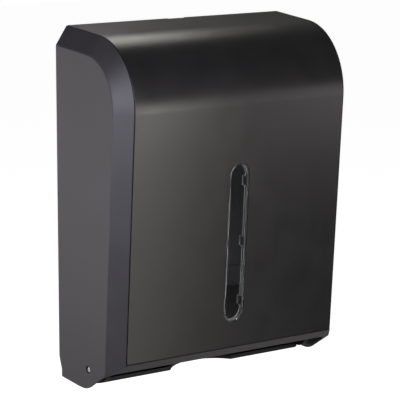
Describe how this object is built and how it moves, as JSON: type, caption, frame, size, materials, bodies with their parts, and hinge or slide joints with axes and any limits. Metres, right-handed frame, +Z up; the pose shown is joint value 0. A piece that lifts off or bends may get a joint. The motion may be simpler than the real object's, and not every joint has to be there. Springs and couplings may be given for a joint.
{
  "type": "folded paper towel dispenser",
  "caption": "Wall-mounted folded paper towel dispenser with a swing-down cover, a wrap-over front panel, a slim sight window and a push-button latch.",
  "frame": {"origin": "centre of the four wall screw holes, on the wall face", "axes": "+X to the right seen from the front, +Y into the wall, +Z up; the front faces -Y"},
  "size_m": [0.285, 0.1243, 0.3639],
  "materials": {
    "frame_plastic": "satin, finely textured",
    "panel_plastic": "satin, finely textured",
    "clear_plastic": "clear, polished",
    "base_plastic": "matte moulded",
    "floor_plastic": "matte moulded",
    "bush_plastic": "smooth",
    "pin_steel": "bright",
    "zinc_steel": "zinc plated",
    "spring_steel": "drawn wire",
    "bumper_rubber": "matte"
  },
  "bodies": {
    "base": {"wall_plate": "base_plastic", "floor_tray": "floor_plastic", "guide_left": "floor_plastic", "guide_right": "floor_plastic", "guide_screws": "zinc_steel", "floor_screws": "zinc_steel", "hinge_pin_left": "pin_steel", "hinge_pin_right": "pin_steel", "cover_bumpers": "bumper_rubber", "latch_housing": "base_plastic", "housing_screws": "zinc_steel", "latch_spring": "spring_steel"},
    "cover": {"cover_frame": "frame_plastic", "front_panel": "panel_plastic", "window_lens": "clear_plastic", "panel_clips": "spring_steel", "catch_plate_steel": "zinc_steel", "catch_screws": "zinc_steel", "hinge_bush_left": "bush_plastic", "hinge_bush_right": "bush_plastic"},
    "latch": {"release_button": "panel_plastic", "latch_bolt": "zinc_steel", "bolt_screw": "zinc_steel"}
  },
  "joints": [
    {"name": "cover_hinge", "type": "hinge", "parent": "base", "child": "cover", "pos_m": [0, -0.0565, -0.1836], "axis": [1, 0, 0], "range_deg": [0, 95]},
    {"name": "latch_press", "type": "slide", "parent": "base", "child": "latch", "axis": [0, 0, -1], "range_m": [0, 0.006], "stiffness_N_per_m": 400, "springref_m": -0.01, "deforming": ["latch_spring"]}
  ]
}
